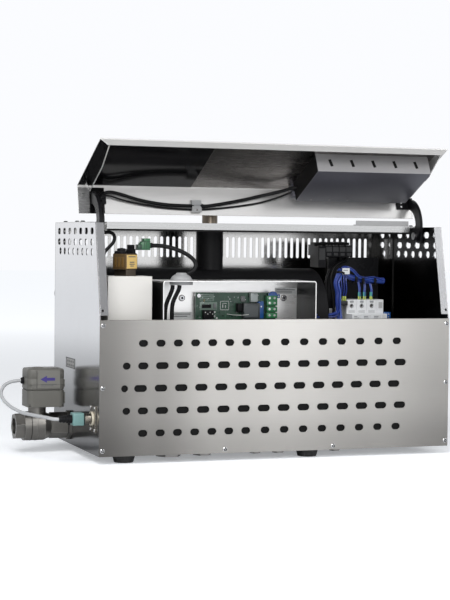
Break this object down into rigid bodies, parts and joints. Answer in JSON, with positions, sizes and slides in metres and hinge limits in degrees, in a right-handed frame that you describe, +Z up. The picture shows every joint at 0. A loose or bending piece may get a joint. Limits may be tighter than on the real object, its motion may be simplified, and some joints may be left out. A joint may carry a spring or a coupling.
{
  "type": "steam generator",
  "caption": "Open-lid steam generator: insulated horizontal boiler and controls in a sheet-steel case, with a motorised drain valve on the side.",
  "frame": {"origin": "middle of the part's outline on the plane that the feet stand on", "axes": "+Z up, +X along the case's width with the drain valve at -X, +Y from the perforated front to the back"},
  "size_m": [0.6957, 0.304, 0.4892],
  "materials": {
    "brushed_panel": "fine brushed",
    "polished_panel": "near mirror, protective film marks",
    "painted_panel": "smooth satin, light warm grey",
    "satin_steel": "light satin",
    "black_screw": "black oxide",
    "grey_strip": "matte",
    "foot_rubber": "matte",
    "dark_metal": "dull",
    "black_paint": "satin black",
    "pin_steel": "turned",
    "insulation": "foam, matte black",
    "tank_steel": "drawn",
    "element_steel": "heat dulled",
    "brass": "machined",
    "coil_resin": "cast resin",
    "black_plastic": "moulded",
    "green_plastic": "moulded",
    "cable_black": "smooth jacket",
    "grey_rubber": "smooth",
    "board_green": "solder mask",
    "component_plastic": "moulded",
    "rail_zinc": "zinc plated",
    "breaker_grey": "moulded light grey",
    "toggle_blue": "moulded",
    "wire_blue": "wire insulation",
    "valve_nickel": "nickel plated",
    "seat_white": "moulded",
    "ball_chrome": "polished",
    "actuator_plastic": "fine grain",
    "motor_can": "plated",
    "socket_metal": "dull plated",
    "plug_teal": "moulded",
    "cable_grey": "smooth jacket",
    "clip_grey": "moulded"
  },
  "bodies": {
    "case": {"base_tray": "brushed_panel", "left_side_panel": "brushed_panel", "right_side_panel": "brushed_panel", "back_panel": "polished_panel", "top_panel": "brushed_panel", "front_panel": "painted_panel", "case_screws": "black_screw", "lid_rest_strip": "grey_strip", "rubber_feet": "foot_rubber", "cable_glands": "dark_metal", "hinge_brackets": "black_paint", "hinge_pins": "pin_steel", "boiler_jacket": "insulation", "boiler_tank": "tank_steel", "heating_elements": "element_steel", "boiler_cradles": "brushed_panel", "enclosure_legs": "brushed_panel", "riser_sleeve": "insulation", "drain_pipe": "tank_steel", "bulkhead_fitting": "tank_steel", "feed_box": "satin_steel", "inlet_pipe": "tank_steel", "solenoid_body": "brass", "solenoid_coil": "coil_resin", "coil_terminal": "black_plastic", "terminal_plug": "green_plastic", "plug_cable": "cable_black", "cable_grommet": "grey_rubber", "control_enclosure": "satin_steel", "control_board": "board_green", "board_standoffs": "pin_steel", "board_parts": "component_plastic", "black_cables": "cable_black", "mounting_plate": "black_paint", "din_rails": "rail_zinc", "breaker_body": "breaker_grey", "relay_bank": "black_plastic", "blue_loom": "wire_blue", "cable_ties": "black_plastic", "valve_body": "valve_nickel", "valve_tailpiece": "valve_nickel", "valve_seats": "seat_white", "actuator_base": "actuator_plastic", "actuator_cover": "actuator_plastic", "drive_motor": "motor_can", "valve_socket": "socket_metal", "valve_plug": "plug_teal", "valve_cable": "cable_grey", "hinge_cable": "cable_black"},
    "lid": {"lid_shell": "polished_panel", "hinge_arms": "black_paint", "lid_box": "brushed_panel", "lid_cable": "cable_black", "cable_clip": "clip_grey"},
    "valve_rotor": {"valve_ball": "ball_chrome", "valve_stem": "pin_steel", "output_gear": "seat_white"},
    "pinion": {"motor_pinion": "brass"},
    "plunger": {"solenoid_plunger": "pin_steel"},
    "toggle": {"breaker_toggle": "toggle_blue"}
  },
  "joints": [
    {"name": "lid_hinge", "type": "hinge", "parent": "case", "child": "lid", "pos_m": [0.045, -0.038, 0.349], "axis": [1, 0, 0], "range_deg": [0, 103.4]},
    {"name": "valve_turn", "type": "hinge", "parent": "case", "child": "valve_rotor", "pos_m": [-0.298, 0.029, 0.042], "axis": [0, 0, 1], "range_deg": [0, 90]},
    {"name": "pinion_spin", "type": "hinge", "parent": "case", "child": "pinion", "pos_m": [-0.27685, 0.029, 0.079], "axis": [0, 0, 1], "range_deg": [-180, 0]},
    {"name": "plunger_lift", "type": "slide", "parent": "case", "child": "plunger", "axis": [0, 0, 1], "range_m": [0, 0.003], "stiffness_N_per_m": 200, "springref_m": -0.001},
    {"name": "toggle_throw", "type": "hinge", "parent": "case", "child": "toggle", "pos_m": [0.045, -0.047, 0.1988], "axis": [1, 0, 0], "range_deg": [0, 70]}
  ],
  "couplings": [
    {"joint": "pinion_spin", "follows": "valve_turn", "ratio": -2}
  ]
}
